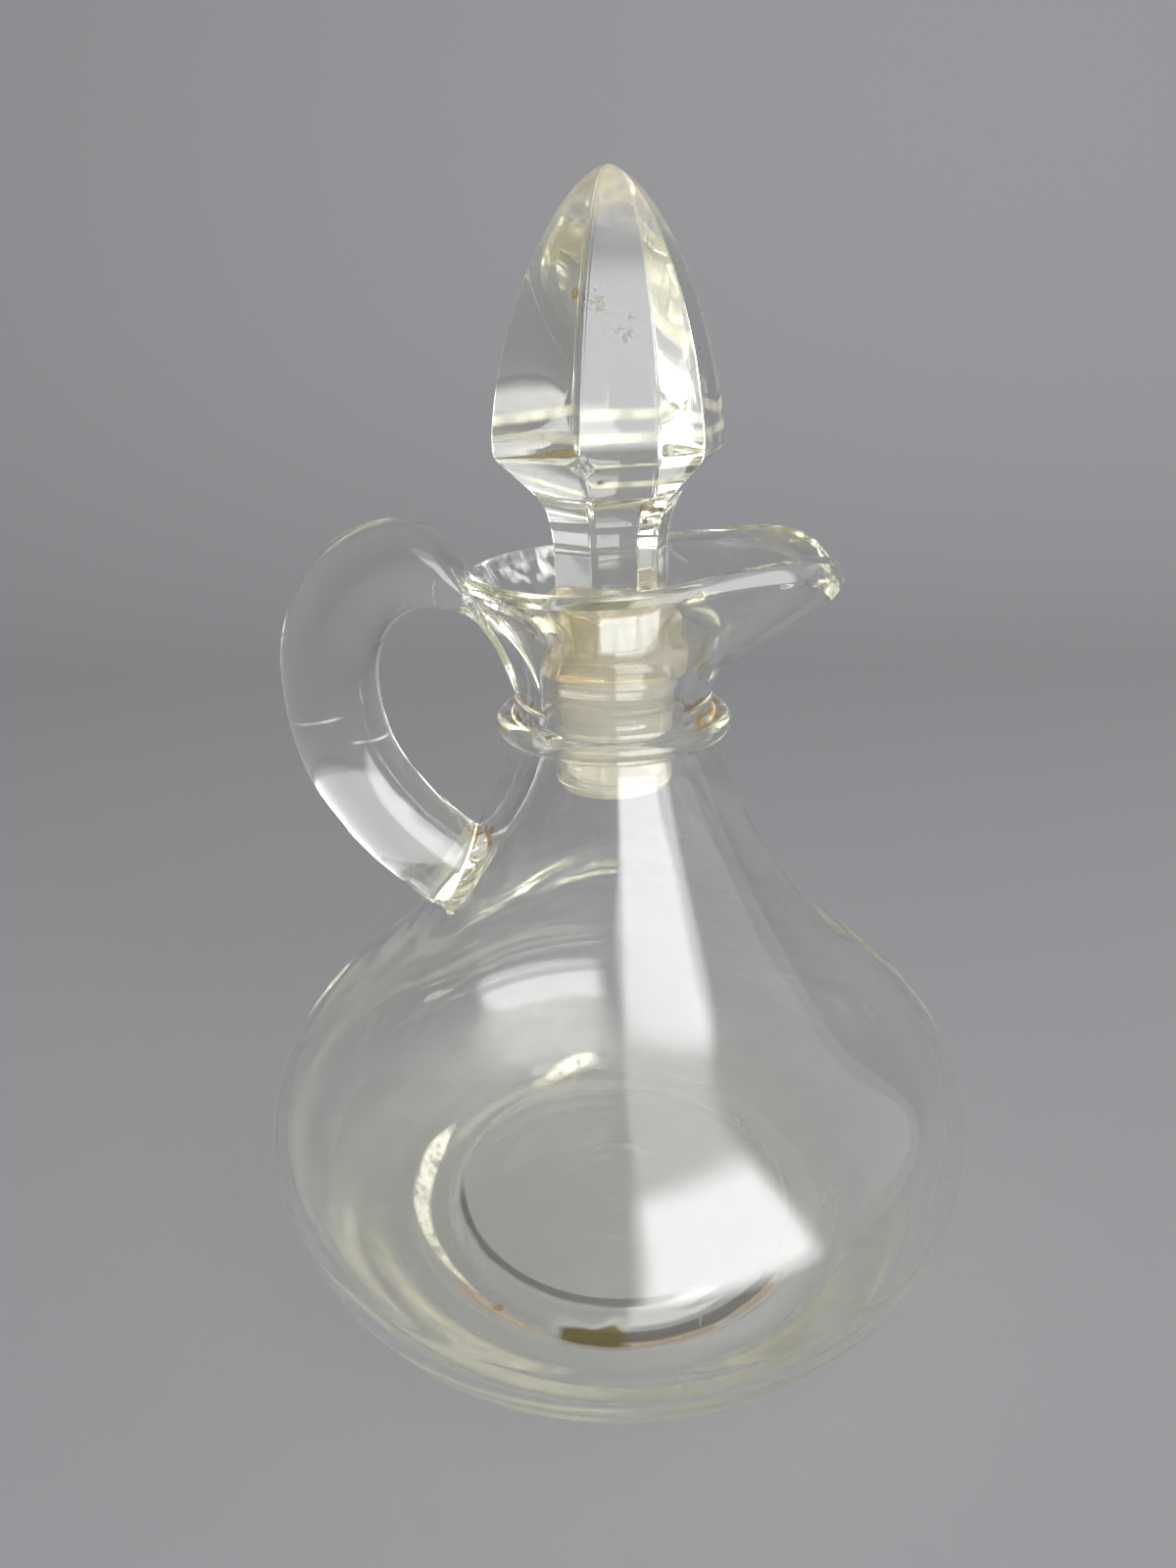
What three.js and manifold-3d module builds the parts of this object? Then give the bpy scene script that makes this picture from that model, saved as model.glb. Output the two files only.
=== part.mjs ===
// A pressed and blown glass oil cruet: a squat onion-shaped bottle with a collar ring and a pouring spout,
// a solid glass loop handle, and a faceted glass stopper whose peg sits in a plastic sleeve.
// Millimetres, +Z up. The origin is the centre of the foot, on the surface that the cruet stands on.
// The spout points along +X and the handle along -X.
import * as THREE from 'three';
import Module from 'manifold-3d';

const wasm = await Module();
wasm.setup();

// Fits
const seatGap = 0.3;

// Body
const bellyRadius = 50;
const bellyHeight = 24.3;
const footRadius = 34;
const footLedge = 7;
const kickRise = 1.6;
const heelAngle = 25.7;
const heelRun = 6.1;
const bellyRoundBelow = 10.3;
const bellyRoundAbove = 10.7;
const waistRadius = 33.2;
const waistHeight = 48.6;
const waistSlope = 36.8;
const waistRunBelow = 10.8;
const waistRunAbove = 10.6;
const bodyWall = 2.6;

// Floor inside the body
const floorHeight = 7.6;
const floorRadius = 25;
const grooveRadius = 29.4;
const grooveDepth = 2.2;
const grooveRound = 2;
const heelRunInside = 10;

// Neck and collar ring
const neckRadius = 12.75;
const boreRadius = 9.2;
const boreBottom = 81;
const borePull = 7;
const ringHeight = 83.7;
const ringRadius = 15.3;
const ringThickness = 2.66;
const neckSlope = 74.6;
const neckRun = 10.4;
const flareHeight = 88;

// Rim, away from the spout
const rimRadius = 17.15;
const rimHeight = 103.1;
const lipThickness = 2.5;

// Spout
const spoutReach = 28.3;
const spoutHeight = 103.7;
const spoutLipWidth = 3.8;
const spoutLipDepth = 5;
const spoutHalfAngle = 37.5;
const spoutRise = 2.7;
const spoutRiseAngle = 66;
const spoutNotchAngle = 16;

// Handle: its outer outline
const gripInsideBelly = 7.2;
const handleReach = bellyRadius - gripInsideBelly;
const handleGripHeight = 89;
const handleCrestReach = 26.9;
const crestAboveRim = 6.5;
const handleCrestHeight = rimHeight + crestAboveRim;
const rootAboveRim = 0.1;
const handleRootHeight = rimHeight + rootAboveRim;
const handleFootHeight = 57;
const handleDepth = 11.8;

// Handle: the opening inside the loop
const gripThickness = 12.4;
const openingReach = handleReach - gripThickness;
const openingCrestReach = 23.5;
const crestThickness = 11.1;
const openingCrestHeight = handleCrestHeight - crestThickness;
const rootAboveFlare = 3.5;
const openingRootHeight = flareHeight + rootAboveFlare;
const openingFootHeight = 67.9;

// Sleeve on the stopper's peg, placed by how deep it sits in the mouth
const sleeveWall = 0.8;
const sleeveFloor = 1.4;
const sleeveLength = 25.3;
const sleeveBelowRim = 3.2;
const sleeveTop = rimHeight - sleeveBelowRim;
const sleeveBottom = sleeveTop - sleeveLength;
const sealBelowTop = 6.7;
const sealHeight = sleeveTop - sealBelowTop;
const sealDepth = 3.4;
const sealSpacing = 2.6;
const secondSealHeight = sealHeight - sealSpacing;
const secondSealDepth = 2.2;
const secondSealSlack = 0.9;

// Stopper, placed by the sleeve's floor
const pegLength = 17.7;
const pegRadius = 6.7;
const pegTipRadius = 6.4;
const stemLength = 12;
const stemRadius = 7.35;
const stemFlareLength = 11.3;
const girdleLength = 2.4;
const girdleRadius = 14.35;
const finialLength = 27.5;
const pegBottom = sleeveBottom + sleeveFloor + seatGap;
const stemBottom = pegBottom + pegLength;
const stemTop = stemBottom + stemLength;
const girdleBottom = stemTop + stemFlareLength;
const girdleTop = girdleBottom + girdleLength;
const stopperTop = girdleTop + finialLength;
const facetCount = 6;
const facetTurn = 16.6;

// Facets around the axis
const bottleSides = 48;
const stopperSides = 36;
const sleeveSides = 36;
const handleSides = 18;

const point = (r, z) => new THREE.Vector2(r, z);
const radians = THREE.MathUtils.degToRad;

function bezier(start, pullStart, pullEnd, end, steps) {
    return new THREE.CubicBezierCurve(start, pullStart, pullEnd, end).getPoints(steps);
}

// Points of a round stretch, angles in degrees from the outward direction.
function arc(centre, radiusAcross, radiusUp, from, to, steps) {
    const points = [];
    for (let i = 0; i <= steps; i++) {
        const angle = radians(from + (to - from) * i / steps);
        points.push(point(centre.x + radiusAcross * Math.cos(angle), centre.y + radiusUp * Math.sin(angle)));
    }
    return points;
}

// The radius of an outline at a height, where the outline climbs or falls steadily.
function radiusAt(outline, height) {
    for (let i = 1; i < outline.length; i++) {
        const a = outline[i - 1];
        const b = outline[i];
        if ((a.y - height) * (b.y - height) <= 0 && a.y !== b.y) {
            return a.x + (b.x - a.x) * (height - a.y) / (b.y - a.y);
        }
    }
    return outline[outline.length - 1].x;
}

// Moves an open outline sideways, to the right of the way that it runs for a positive distance.
function offset(outline, distance) {
    return outline.map((p, i) => {
        const before = outline[Math.max(i - 1, 0)];
        const after = outline[Math.min(i + 1, outline.length - 1)];
        const along = after.clone().sub(before).normalize();
        return point(p.x + along.y * distance, p.y - along.x * distance);
    });
}

// A closed skin over a stack of rings with equal counts, ending in one point at each end.
function skin(rings, firstPoint, lastPoint) {
    const around = rings[0].length;
    const vertices = [firstPoint, ...rings.flat(), lastPoint];
    const last = vertices.length - 1;
    const faces = [];
    for (let j = 0; j < around; j++) {
        const next = (j + 1) % around;
        faces.push(0, 1 + next, 1 + j);
        for (let i = 0; i + 1 < rings.length; i++) {
            const low = 1 + i * around;
            const high = low + around;
            faces.push(low + j, low + next, high + next);
            faces.push(low + j, high + next, high + j);
        }
        const top = 1 + (rings.length - 1) * around;
        faces.push(top + j, top + next, last);
    }
    const geometry = new THREE.BufferGeometry();
    geometry.setAttribute('position', new THREE.Float32BufferAttribute(vertices.flatMap((v) => v.toArray()), 3));
    geometry.setIndex(faces);
    geometry.computeVertexNormals();
    return geometry;
}

// Turns a section round the Z axis. sectionAt gives its points for an angle in degrees from +X,
// from one point on the axis to another. The first column of points lies at the angle named first.
function turned(sectionAt, sides, first = 0) {
    const columns = [];
    for (let j = 0; j < sides; j++) {
        const degrees = first + 360 * j / sides;
        const angle = radians(degrees);
        columns.push(sectionAt(degrees).map((p) =>
            new THREE.Vector3(p.x * Math.cos(angle), p.x * Math.sin(angle), p.y)));
    }
    const rows = columns[0].length;
    const rings = [];
    for (let i = 1; i + 1 < rows; i++) {
        rings.push(columns.map((column) => column[i]));
    }
    return skin(rings, columns[0][0], columns[0][rows - 1]);
}

function solidOf(geometry) {
    return new wasm.Manifold(new wasm.Mesh({
        numProp: 3,
        vertProperties: new Float32Array(geometry.getAttribute('position').array),
        triVerts: new Uint32Array(geometry.getIndex().array),
    }));
}

function geometryOf(solid) {
    const mesh = solid.getMesh();
    const geometry = new THREE.BufferGeometry();
    geometry.setAttribute('position', new THREE.Float32BufferAttribute(mesh.vertProperties, 3));
    geometry.setIndex(Array.from(mesh.triVerts));
    geometry.computeVertexNormals();
    return geometry;
}

// Body outline
const waistDirection = point(-Math.cos(radians(waistSlope)), Math.sin(radians(waistSlope)));
const neckDirection = point(-Math.cos(radians(neckSlope)), Math.sin(radians(neckSlope)));
const ringCentre = point(ringRadius - ringThickness / 2, ringHeight);
const belly = point(bellyRadius, bellyHeight);
const waist = point(waistRadius, waistHeight);
const neckRoot = point(neckRadius + seatGap, ringHeight - ringThickness / 2 - seatGap);

const shoulderSteps = 7;
const heelOutline = bezier(
    point(footRadius, 0),
    point(footRadius + heelRun * Math.cos(radians(heelAngle)), heelRun * Math.sin(radians(heelAngle))),
    point(bellyRadius, bellyHeight - bellyRoundBelow),
    belly,
    9,
);
const shoulderOutline = [
    ...bezier(
        belly,
        point(bellyRadius, bellyHeight + bellyRoundAbove),
        waist.clone().addScaledVector(waistDirection, -waistRunBelow),
        waist,
        shoulderSteps,
    ),
    ...bezier(
        waist,
        waist.clone().addScaledVector(waistDirection, waistRunAbove),
        neckRoot.clone().addScaledVector(neckDirection, -neckRun),
        neckRoot,
        8,
    ).slice(1),
];

// Mouth: one section away from the spout and one along it, with the same count of points
const lipRadius = lipThickness / 2;
const rimLip = point(rimRadius, rimHeight - lipRadius);
const spoutLip = point(spoutReach - spoutLipWidth / 2, spoutHeight - spoutLipDepth / 2);

function mouthSection(lip, lipAcross, lipUp, outerPulls, innerPulls) {
    const outer = bezier(point(neckRadius, flareHeight), ...outerPulls, point(lip.x + lipAcross, lip.y), 6);
    const crest = arc(lip, lipAcross, lipUp, 0, 180, 6).slice(1, -1);
    const inner = bezier(point(lip.x - lipAcross, lip.y), ...innerPulls, point(boreRadius, flareHeight + 1), 7);
    return { inner, whole: [...outer, ...crest, ...inner] };
}

const outerFlare = rimHeight - flareHeight;
const rimSection = mouthSection(
    rimLip,
    lipRadius,
    lipRadius,
    [point(neckRadius, flareHeight + 0.33 * outerFlare), point(rimRadius - 0.3, flareHeight + 0.7 * outerFlare)],
    [point(rimRadius - 3.5, flareHeight + 0.7 * outerFlare), point(boreRadius, flareHeight + 0.49 * outerFlare)],
);
const spoutSection = mouthSection(
    spoutLip,
    spoutLipWidth / 2,
    spoutLipDepth / 2,
    [point(neckRadius + 0.5, flareHeight + 0.39 * outerFlare), point(spoutReach - 2.9, flareHeight + 0.47 * outerFlare)],
    [point(spoutReach - 7.8, flareHeight + 0.6 * outerFlare), point(boreRadius + 0.4, flareHeight + 0.45 * outerFlare)],
);

// How far the mouth is drawn out into the spout at an angle from +X: 1 along it, 0 opposite.
function spoutShare(degrees) {
    return 1 / (1 + (degrees / spoutHalfAngle) ** 4);
}

// How high the rim climbs beside the spout, before it dips to the notch that the oil leaves by.
function rimRise(degrees) {
    const climb = 1 / (1 + (degrees / spoutRiseAngle) ** 4);
    const notch = 1 - Math.exp(-((degrees / spoutNotchAngle) ** 2));
    return spoutRise * climb * notch;
}

function mouthAt(degrees) {
    const turn = degrees > 180 ? 360 - degrees : degrees;
    const share = spoutShare(turn);
    const rise = rimRise(turn);
    return rimSection.whole.map((p, i) => {
        const blended = p.clone().lerp(spoutSection.whole[i], share);
        const height = (blended.y - flareHeight) / outerFlare;
        return point(blended.x, blended.y + rise * Math.max(height, 0) ** 2);
    });
}

// Inside of the body
const innerCurve = offset(shoulderOutline, -bodyWall).slice(0, shoulderSteps + 1).reverse();
const innerWaist = innerCurve[0];
const innerBelly = point(bellyRadius - bodyWall, bellyHeight);
const innerShoulder = [
    ...bezier(
        point(boreRadius, boreBottom),
        point(boreRadius, boreBottom - borePull),
        innerWaist.clone().addScaledVector(waistDirection, waistRunAbove),
        innerWaist,
        8,
    ),
    ...innerCurve.slice(1, -1),
];
const grooveFloor = floorHeight - grooveDepth;
const innerHeel = bezier(
    innerBelly,
    point(innerBelly.x, bellyHeight - bellyRoundBelow),
    point(grooveRadius + heelRunInside, grooveFloor + grooveDepth / 2),
    point(grooveRadius, grooveFloor + grooveDepth / 4),
    8,
);

const underside = [
    ...bezier(
        point(0, kickRise),
        point((footRadius - footLedge) / 2, kickRise),
        point(footRadius - 1.5 * footLedge, kickRise / 2),
        point(footRadius - footLedge, 0),
        4,
    ),
];

const grooveBottom = bezier(
    point(grooveRadius - grooveRound / 3, grooveFloor),
    point(grooveRadius - grooveRound, grooveFloor),
    point(floorRadius + grooveRound / 3, floorHeight),
    point(floorRadius - grooveRound, floorHeight),
    4,
);

const collarRing = arc(ringCentre, ringThickness / 2, ringThickness / 2, -125, 125, 8);

function bottleSection(degrees) {
    return [
        ...underside,
        ...heelOutline,
        ...shoulderOutline.slice(1),
        ...collarRing,
        point(neckRadius, ringHeight + ringThickness / 2 + seatGap),
        ...mouthAt(degrees),
        ...innerShoulder,
        ...innerHeel,
        ...grooveBottom,
        point(0, floorHeight),
    ];
}

const bottleGeometry = turned(bottleSection, bottleSides);

// Handle: a thick glass rod from the neck, over in a loop and down to the shoulder. Two outlines in
// the plane of the loop set its thickness. Both start inside the neck and end inside the shoulder.
const rootInset = 1.6;
const footInset = 2.5;
const footPitch = 41;
const crestPull = 0.4;
const quarterPull = 0.55;
const footPull = 0.45;
const outerRootPull = point(4, 3.2);
const outerFootPull = 17;
const openingRootPull = point(1.5, 5.5);
const openingFootPull = 13;
const stepsOfStretch = [8, 9, 12];

function handleOutline(root, rootPull, crest, grip, footHeight, footLead) {
    const towards = point(-Math.cos(radians(footPitch)), -Math.sin(radians(footPitch)));
    const foot = point(radiusAt(shoulderOutline, footHeight), footHeight);
    const seat = foot.clone().addScaledVector(towards, footInset);
    return [
        new THREE.CubicBezierCurve(
            root,
            root.clone().add(rootPull),
            point(THREE.MathUtils.lerp(crest.x, root.x, crestPull), crest.y),
            crest,
        ),
        new THREE.CubicBezierCurve(
            crest,
            point(THREE.MathUtils.lerp(crest.x, grip.x, quarterPull), crest.y),
            point(grip.x, THREE.MathUtils.lerp(grip.y, crest.y, quarterPull)),
            grip,
        ),
        new THREE.CubicBezierCurve(
            grip,
            point(grip.x, THREE.MathUtils.lerp(grip.y, footHeight, footPull)),
            seat.clone().addScaledVector(towards, -footLead),
            seat,
        ),
    ];
}

const outerOutline = handleOutline(
    point(rimRadius - rootInset, handleRootHeight),
    outerRootPull,
    point(handleCrestReach, handleCrestHeight),
    point(handleReach, handleGripHeight),
    handleFootHeight,
    outerFootPull,
);
const openingOutline = handleOutline(
    point(neckRadius, openingRootHeight),
    openingRootPull,
    point(openingCrestReach, openingCrestHeight),
    point(openingReach, handleGripHeight),
    openingFootHeight,
    openingFootPull,
);

function handleRod() {
    const rings = [];
    const centres = [];
    stepsOfStretch.forEach((steps, stretch) => {
        for (let i = stretch === 0 ? 0 : 1; i <= steps; i++) {
            const outer = outerOutline[stretch].getPoint(i / steps);
            const inner = openingOutline[stretch].getPoint(i / steps);
            const centre = outer.clone().lerp(inner, 0.5);
            const half = outer.clone().sub(centre);
            const ring = [];
            for (let j = 0; j < handleSides; j++) {
                const angle = 2 * Math.PI * j / handleSides;
                const across = centre.clone().addScaledVector(half, Math.cos(angle));
                ring.push(new THREE.Vector3(-across.x, handleDepth / 2 * Math.sin(angle), across.y));
            }
            rings.push(ring);
            centres.push(new THREE.Vector3(-centre.x, 0, centre.y));
        }
    });
    return skin(rings, centres[0], centres[centres.length - 1]);
}

// The bottle's outside, filled, with the way into its mouth, and a seat's gap larger. It trims the rod's ends.
function bottleEnvelope(degrees) {
    const mouth = mouthAt(degrees);
    const crest = mouth.findIndex((p, i) => i + 1 === mouth.length || mouth[i + 1].y < p.y);
    const outside = offset([
        ...heelOutline,
        ...shoulderOutline.slice(1),
        point(ringRadius, ringHeight),
        ...mouth.slice(0, crest),
    ], seatGap);
    const above = 2 * handleCrestHeight - handleRootHeight;
    return [point(0, 0), ...outside, point(outside[outside.length - 1].x, above), point(0, above)];
}

const handleGeometry = geometryOf(solidOf(handleRod()).subtract(solidOf(turned(bottleEnvelope, bottleSides))));

// Stopper: six flat sides above and below, cut square across the corners' profile, on a round peg.
function facetScale(degrees, roundness) {
    const facet = 360 / facetCount;
    const fromCorner = (((degrees - facetTurn) % facet) + facet) % facet;
    const flat = Math.cos(radians(facet / 2)) / Math.cos(radians(fromCorner - facet / 2));
    return flat + (1 - flat) * roundness;
}

const pegFoot = [point(0, pegBottom), point(pegTipRadius - 0.8, pegBottom), point(pegTipRadius, pegBottom + 0.8)];
const pegOutline = [...pegFoot, point(pegRadius, stemBottom - 0.4)];
const stemOutline = [
    point(stemRadius - 0.35, stemBottom),
    point(stemRadius, stemBottom + 0.6),
    ...bezier(
        point(stemRadius, stemTop),
        point(stemRadius, THREE.MathUtils.lerp(stemTop, girdleBottom, 0.44)),
        point(THREE.MathUtils.lerp(stemRadius, girdleRadius, 0.38), THREE.MathUtils.lerp(stemTop, girdleBottom, 0.66)),
        point(girdleRadius - 0.3, girdleBottom),
        7,
    ),
];
const finialOutline = [
    point(girdleRadius, girdleBottom + 0.5),
    ...bezier(
        point(girdleRadius, girdleTop),
        point(girdleRadius - 1.05, THREE.MathUtils.lerp(girdleTop, stopperTop, 0.39)),
        point(girdleRadius * 0.53, THREE.MathUtils.lerp(girdleTop, stopperTop, 0.88)),
        point(0, stopperTop),
        12,
    ),
];

const stemRoundness = 0.25;

function stopperSection(degrees) {
    const shaped = (outline, roundness) => outline.map((p) => point(p.x * facetScale(degrees, roundness), p.y));
    return [
        ...shaped(pegOutline, 1),
        ...shaped(stemOutline.slice(0, 3), stemRoundness),
        ...shaped(stemOutline.slice(3), stemRoundness / 2),
        ...shaped(finialOutline, 0),
    ];
}

const stopperGeometry = turned(stopperSection, stopperSides, facetTurn);

// Sleeve: a thin cup on the peg, widened over the stem, with two seal rings that close the bore.
const cupInner = pegRadius + seatGap;
const cupOuter = cupInner + sleeveWall;
const collarInner = stemRadius + seatGap;
const collarOuter = collarInner + sleeveWall;
const sealRadius = radiusAt(rimSection.inner, sealHeight) - seatGap;
const secondSealRadius = boreRadius - secondSealSlack;
const cupFloor = pegBottom - seatGap;
const stepHeight = stemBottom - seatGap;

const sleeveOutline = [
    point(0, sleeveBottom),
    point(cupOuter - 1.5, sleeveBottom),
    point(cupOuter - 0.6, sleeveBottom + 0.5),
    point(cupOuter - 0.1, sleeveBottom + 1.6),
    point(cupOuter, sleeveBottom + 3),
    point(cupOuter, secondSealHeight - secondSealDepth / 2 - 0.3),
    ...arc(point(cupOuter, secondSealHeight), secondSealRadius - cupOuter, secondSealDepth / 2, -80, 60, 5),
    ...arc(point(collarOuter, sealHeight), sealRadius - collarOuter, sealDepth / 2, -75, 75, 8),
    point(collarOuter, sealHeight + sealDepth / 2 + 0.4),
    point(collarOuter, sleeveTop - 0.3),
    point(collarOuter - 0.25, sleeveTop),
    point(collarInner + 0.15, sleeveTop),
    point(collarInner, sleeveTop - 0.3),
    point(collarInner, stepHeight),
    point(cupInner, stepHeight - seatGap),
    point(cupInner, cupFloor + 1),
    point(cupInner - 0.8, cupFloor),
    point(0, cupFloor),
];

const sleeveGeometry = turned(() => sleeveOutline, sleeveSides);

// Materials
const clearGlass = { color: 0xe6ebe6, roughness: 0.05, metalness: 0, transparent: true, opacity: 0.4 };
const agedPlastic = { color: 0xdccba4, roughness: 0.45, metalness: 0, transparent: true, opacity: 0.85 };

function piece(name, geometry, finish) {
    const mesh = new THREE.Mesh(geometry, new THREE.MeshStandardMaterial(finish));
    mesh.name = name;
    return mesh;
}

const cruet = new THREE.Group();
cruet.name = 'oil_cruet';
cruet.add(piece('bottle', bottleGeometry, clearGlass));
cruet.add(piece('handle', handleGeometry, clearGlass));
cruet.add(piece('stopper', stopperGeometry, clearGlass));
cruet.add(piece('stopper_sleeve', sleeveGeometry, agedPlastic));

export default cruet;
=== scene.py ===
# The looks of a pressed and blown glass oil cruet with a faceted stopper in an aged plastic sleeve.
# Outlines are in millimetres, as (radius, height) round the bottle's axis, and turn into metres in the
# meshes. The spout points along +X and the handle along -X.
import math
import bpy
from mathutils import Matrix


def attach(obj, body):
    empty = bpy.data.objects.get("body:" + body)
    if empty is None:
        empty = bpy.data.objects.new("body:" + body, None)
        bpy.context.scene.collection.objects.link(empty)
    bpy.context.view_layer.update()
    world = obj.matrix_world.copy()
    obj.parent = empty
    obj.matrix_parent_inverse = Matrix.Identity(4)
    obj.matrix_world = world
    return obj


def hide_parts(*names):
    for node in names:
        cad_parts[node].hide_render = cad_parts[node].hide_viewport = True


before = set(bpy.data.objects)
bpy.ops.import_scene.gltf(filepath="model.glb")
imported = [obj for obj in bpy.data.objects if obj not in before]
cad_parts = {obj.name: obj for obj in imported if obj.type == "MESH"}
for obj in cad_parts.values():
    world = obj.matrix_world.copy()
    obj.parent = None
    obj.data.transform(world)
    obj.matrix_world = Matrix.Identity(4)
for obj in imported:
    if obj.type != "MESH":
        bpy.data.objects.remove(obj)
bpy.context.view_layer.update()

from types import SimpleNamespace

import bmesh
import bpy
import numpy as np
from mathutils import Matrix, Vector

MM = 0.001


# Camera, where the photograph was taken from
PHOTO_LONG_SIDE = 1600
SENSOR_WIDTH = 36.0
FOCAL_PIXELS = 1131.49
CAMERA_PLACE = Vector((0.0, -0.13734, 0.131))
CAMERA_PITCH = math.radians(22.47)
CAMERA_YAW = math.radians(-1.47)
CAMERA_ROLL = math.radians(-1.14)


def make_camera():
    data = bpy.data.cameras.new("camera")
    data.sensor_width = SENSOR_WIDTH
    data.lens = SENSOR_WIDTH * FOCAL_PIXELS / PHOTO_LONG_SIDE
    data.clip_start = 0.01
    camera = bpy.data.objects.new("camera", data)
    forward = Vector((
        math.sin(CAMERA_YAW) * math.cos(CAMERA_PITCH),
        math.cos(CAMERA_YAW) * math.cos(CAMERA_PITCH),
        -math.sin(CAMERA_PITCH),
    ))
    right = Vector((math.cos(CAMERA_YAW), -math.sin(CAMERA_YAW), 0))
    up = right.cross(forward)
    rolled_right = right * math.cos(CAMERA_ROLL) + up * math.sin(CAMERA_ROLL)
    rolled_up = up * math.cos(CAMERA_ROLL) - right * math.sin(CAMERA_ROLL)
    turn = Matrix((rolled_right, rolled_up, -forward)).transposed()
    camera.matrix_world = Matrix.Translation(CAMERA_PLACE) @ turn.to_4x4()
    bpy.context.scene.collection.objects.link(camera)
    bpy.context.scene.camera = camera


make_camera()


# Outlines
FINE_STEP = 0.1
WAIST_EASE = 3.0
WAIST_SPAN = 9


def bezier(start, pull_start, pull_end, end, steps):
    t = np.linspace(0, 1, steps + 1)[:, None]
    p = [np.array(v, float) for v in (start, pull_start, pull_end, end)]
    return (1 - t) ** 3 * p[0] + 3 * (1 - t) ** 2 * t * p[1] + 3 * (1 - t) * t ** 2 * p[2] + t ** 3 * p[3]


def arc(centre, across, up, first, last, steps):
    a = np.radians(np.linspace(first, last, steps + 1))
    return np.stack([centre[0] + across * np.cos(a), centre[1] + up * np.sin(a)], 1)


def lengths(line):
    return np.concatenate([[0], np.cumsum(np.linalg.norm(np.diff(line, axis=0), axis=1))])


def resample(line, step):
    run = lengths(line)
    at = np.linspace(0, run[-1], max(2, int(run[-1] / step) + 1))
    return np.stack([np.interp(at, run, line[:, k]) for k in range(line.shape[1])], 1)


def rounded(line, radius, step=FINE_STEP):
    """The line with its corners eased over about this radius. Its ends stay where they are."""
    fine = resample(line, step)
    reach = int(3 * radius / step)
    weights = np.exp(-0.5 * (np.arange(-reach, reach + 1) * step / radius) ** 2)
    weights /= weights.sum()
    before = 2 * fine[0] - fine[reach:0:-1]
    after = 2 * fine[-1] - fine[-2:-reach - 2:-1]
    padded = np.concatenate([before, fine, after])
    return np.stack([np.convolve(padded[:, k], weights, "valid") for k in range(fine.shape[1])], 1)


def thinned(line, slack, longest):
    """Leaves out points that a straight run between their neighbours passes within the slack."""
    kept = [0]
    i = 0
    while i < len(line) - 1:
        j = i + 1
        while j + 1 < len(line):
            ahead = line[j + 1] - line[i]
            length = np.linalg.norm(ahead)
            if length > longest:
                break
            between = line[i + 1:j + 1] - line[i]
            off = np.abs(between[:, 0] * ahead[1] - between[:, 1] * ahead[0]) / max(length, 1e-9)
            if off.max() > slack:
                break
            j += 1
        kept.append(j)
        i = j
    return line[kept]


def joined_lines(*lines):
    return np.concatenate([lines[0]] + [line[1:] for line in lines[1:]])


def eased_waist(line, height):
    """Evens out how the line bends where its two stretches meet."""
    fine = resample(line, FINE_STEP)
    soft = rounded(line, WAIST_EASE)
    share = np.exp(-(((fine[:, 1] - height) / WAIST_SPAN) ** 2))[:, None]
    return fine + share * (soft - fine)


def moved_sideways(line, distance):
    along = np.gradient(line, axis=0)
    along /= np.linalg.norm(along, axis=1)[:, None]
    return line + distance * np.stack([along[:, 1], -along[:, 0]], 1)


def sloping(degrees):
    """The way up and inwards at this slope."""
    return np.array([-math.cos(math.radians(degrees)), math.sin(math.radians(degrees))])


# Bottle, outside
FOOT_INNER = 27.0
FOOT = 34.0
UNDERSIDE = 1.6
BELLY = np.array([50.0, 24.3])
BELLY_BELOW = 10.3
BELLY_ABOVE = 10.7
WAIST = np.array([33.2, 48.6])
WAIST_WAY = sloping(36.8)
WAIST_BELOW = 10.8
WAIST_ABOVE = 10.6
NECK_WAY = sloping(74.6)
NECK_BELOW = 10.4
NECK = 12.75
BORE = 9.2
RING = np.array([13.97, 83.7])
RING_HALF = 1.33
RING_CORNER = 0.3
FLARE_FROM = 88.0
RIM = np.array([17.15, 103.1])
NECK_ROOT = np.array([NECK + RING_CORNER, RING[1] - RING_HALF - RING_CORNER])
CURVE_STEPS = 60
HEEL_EASE = 2.2
RING_EASE = 0.28

underside = bezier((0, UNDERSIDE), (13.5, UNDERSIDE), (23.5, 0.8), (FOOT_INNER, 0), 40)
ledge = np.array([[FOOT_INNER, 0.0], [FOOT, 0.0]])
heel = bezier((FOOT, 0), (39.5, 2.65), BELLY - (0, BELLY_BELOW), BELLY, CURVE_STEPS)
shoulder = joined_lines(
    bezier(BELLY, BELLY + (0, BELLY_ABOVE), WAIST - WAIST_BELOW * WAIST_WAY, WAIST, CURVE_STEPS),
    bezier(
        WAIST, WAIST + WAIST_ABOVE * WAIST_WAY, NECK_ROOT - NECK_BELOW * NECK_WAY, NECK_ROOT, CURVE_STEPS,
    ),
)
ring_line = arc(RING, RING_HALF, RING_HALF, -125, 125, 40)
neck_line = np.array([[NECK, RING[1] + RING_HALF + RING_CORNER], [NECK, FLARE_FROM]])

base_line = rounded(joined_lines(underside, ledge, heel), HEEL_EASE)
# The easing lifts the foot a little, so it is set down again, less and less up to the belly
base_line[:, 1] -= base_line[:, 1].min() * np.clip((30 - base_line[:, 1]) / 20, 0, 1)
outside = joined_lines(
    base_line,
    rounded(np.concatenate([eased_waist(shoulder, WAIST[1]), ring_line, neck_line]), RING_EASE),
)
outside = thinned(outside, 0.006, 2.2)

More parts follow.
